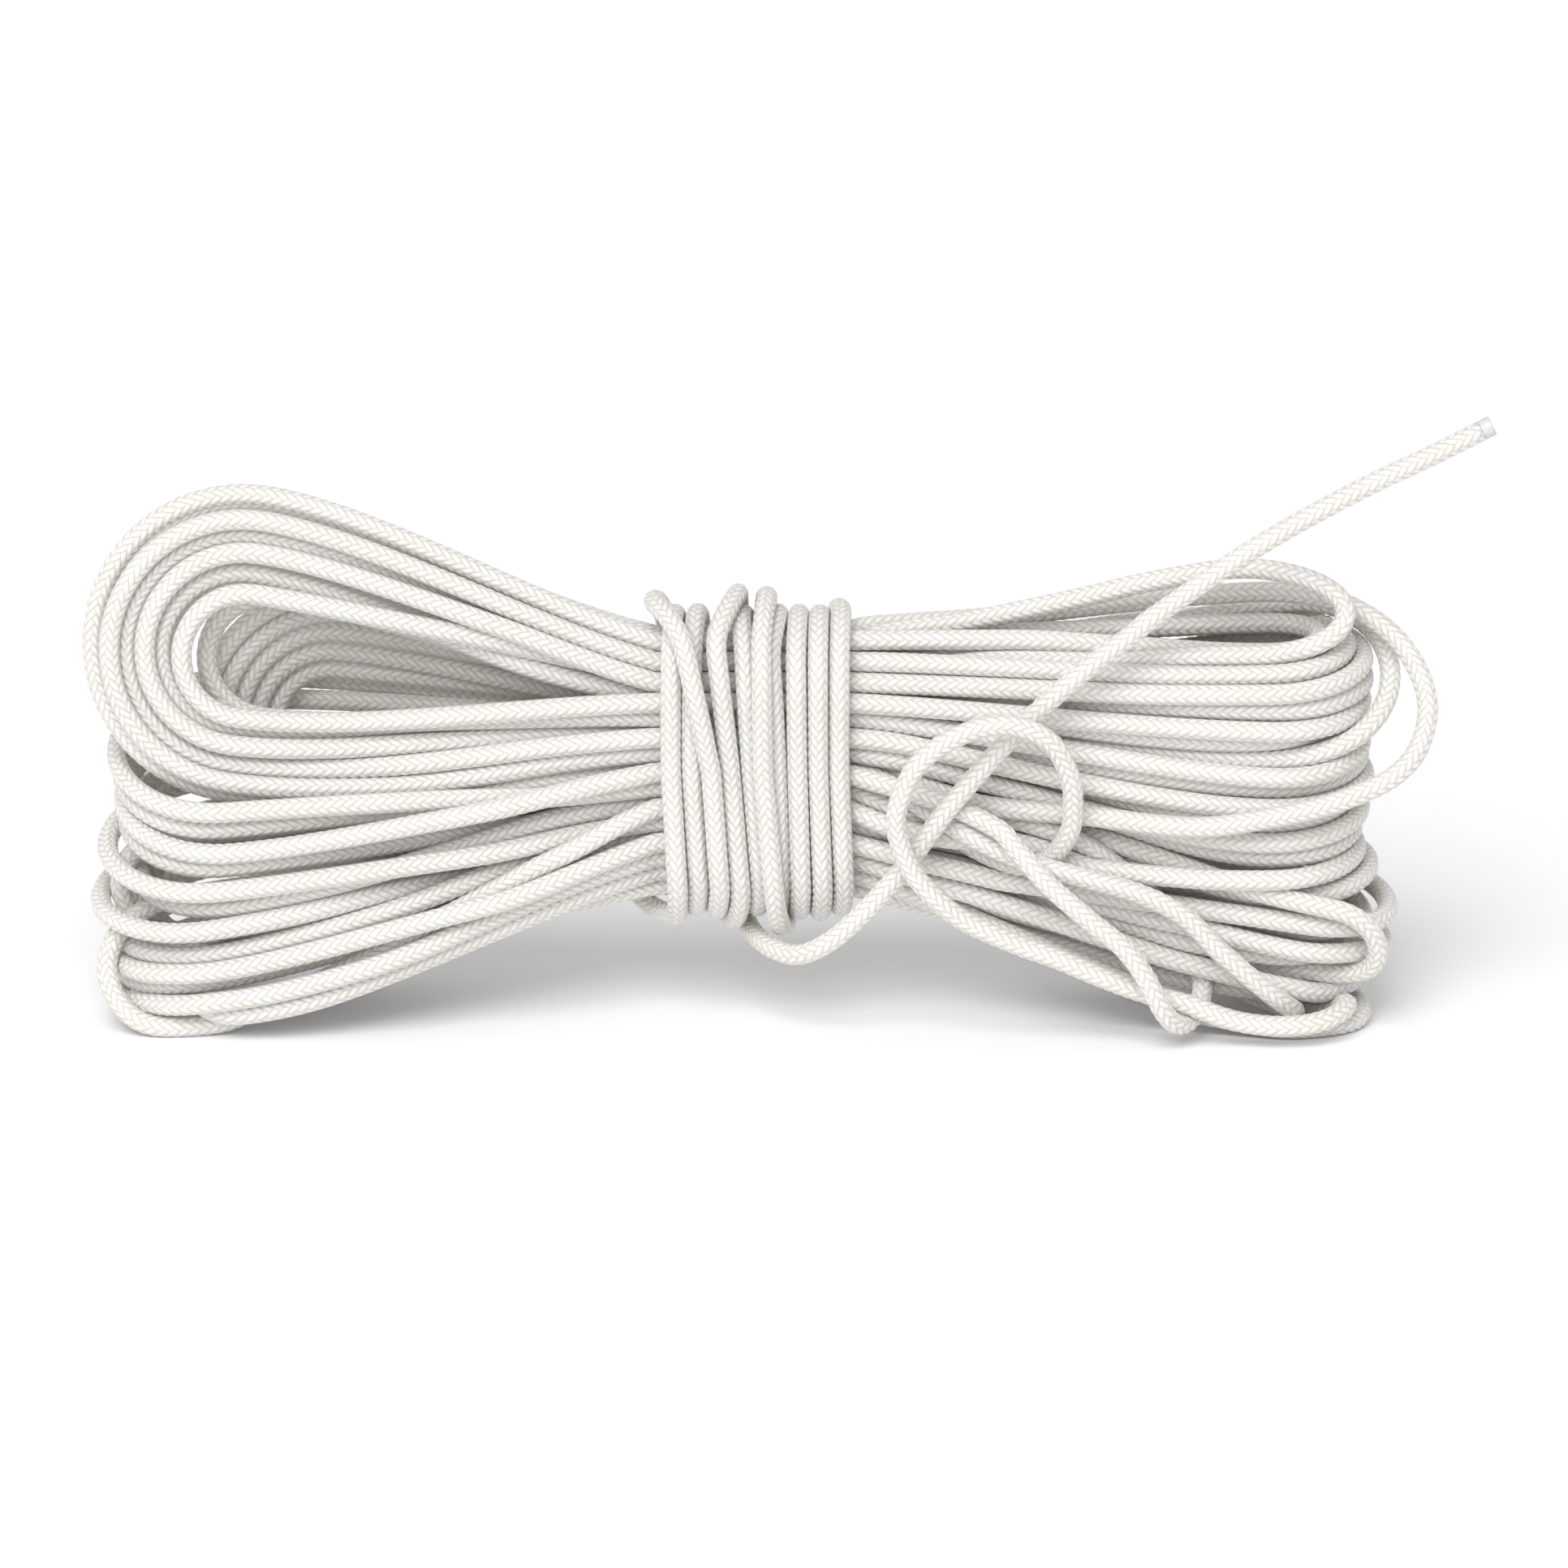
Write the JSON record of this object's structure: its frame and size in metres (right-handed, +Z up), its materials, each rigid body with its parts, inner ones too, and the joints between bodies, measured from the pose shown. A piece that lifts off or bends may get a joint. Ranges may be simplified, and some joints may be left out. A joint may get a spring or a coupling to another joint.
{
  "type": "coiled dock line",
  "caption": "White braided line laid up as a long hank, bound round the waist with its own tail, with loose loops and a free sealed end.",
  "frame": {"origin": "on the floor, under the middle of the part's overall box", "axes": "+X along the hank towards the tail's tip, +Y to the back, +Z up"},
  "size_m": [0.3975, 0.0859, 0.1809],
  "materials": {
    "line": "off-white braided synthetic yarn with a soft sheen",
    "sealed_end": "melted and hardened yarn, slightly grey"
  },
  "bodies": {
    "hank": {"waist": "line", "frapping": "line", "upper_left_bights": "line", "lower_left_bights": "line", "upper_right_bights": "line", "lower_right_bights": "line", "small_stray_loop": "line", "large_stray_loop": "line", "slack_ring": "line", "tail_root": "line", "start_end": "line", "start_seal": "sealed_end"},
    "tail": {"tail": "line", "tail_seal": "sealed_end"}
  },
  "joints": [
    {"name": "tail_flex", "type": "hinge", "parent": "hank", "child": "tail", "pos_m": [0.099, -0.03, 0.121], "axis": [0, -1, 0], "range_deg": [-20, 25], "stiffness_Nm_per_rad": 0.05, "springref_deg": 0.57}
  ]
}
